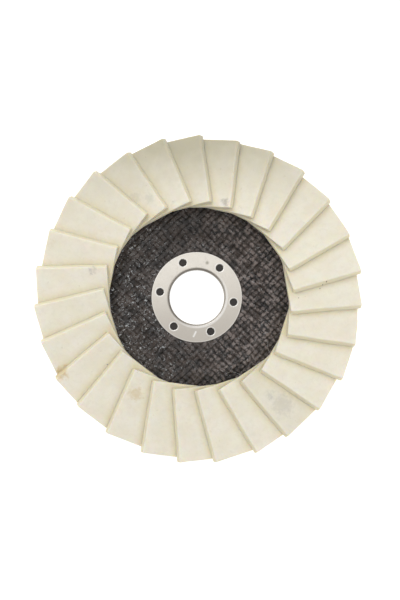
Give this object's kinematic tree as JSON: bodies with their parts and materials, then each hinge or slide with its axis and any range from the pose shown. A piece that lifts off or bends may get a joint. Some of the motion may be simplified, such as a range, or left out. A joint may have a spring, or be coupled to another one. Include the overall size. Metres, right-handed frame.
{
  "type": "felt flap polishing wheel",
  "caption": "Round polishing wheel for an angle grinder: overlapping felt flaps glued to a dished glass-fibre plate with pressed steel hub rings.",
  "frame": {"origin": "on the bore axis, in the plane of the back hub ring that seats on the grinder's flange", "axes": "+Z along the bore axis from the grinder towards the felt's working face; +Y points at the first flap, +X completes the right-handed frame"},
  "size_m": [0.1288, 0.1288, 0.0202],
  "materials": {
    "felt": "pressed wool felt, matt, cream white with a slight yellow cast",
    "resin_adhesive": "cured resin, translucent amber, slightly glossy",
    "glass_laminate": "open plain-weave glass cloth in black-brown resin, satin with glossy sparkles",
    "hub_metal": "plated pressed steel, satin, lightly scratched"
  },
  "bodies": {
    "root": {"felt_flap_01": "felt", "felt_flap_02": "felt", "felt_flap_03": "felt", "felt_flap_04": "felt", "felt_flap_05": "felt", "felt_flap_06": "felt", "felt_flap_07": "felt", "felt_flap_08": "felt", "felt_flap_09": "felt", "felt_flap_10": "felt", "felt_flap_11": "felt", "felt_flap_12": "felt", "felt_flap_13": "felt", "felt_flap_14": "felt", "felt_flap_15": "felt", "felt_flap_16": "felt", "felt_flap_17": "felt", "felt_flap_18": "felt", "felt_flap_19": "felt", "felt_flap_20": "felt", "felt_flap_21": "felt", "felt_flap_22": "felt", "felt_flap_23": "felt", "felt_flap_24": "felt", "felt_flap_25": "felt", "felt_flap_26": "felt", "felt_flap_27": "felt", "adhesive_bed": "resin_adhesive", "front_glass_ply": "glass_laminate", "core_glass_ply": "glass_laminate", "back_glass_ply": "glass_laminate", "front_hub_ring": "hub_metal", "back_hub_ring": "hub_metal"}
  },
  "joints": []
}
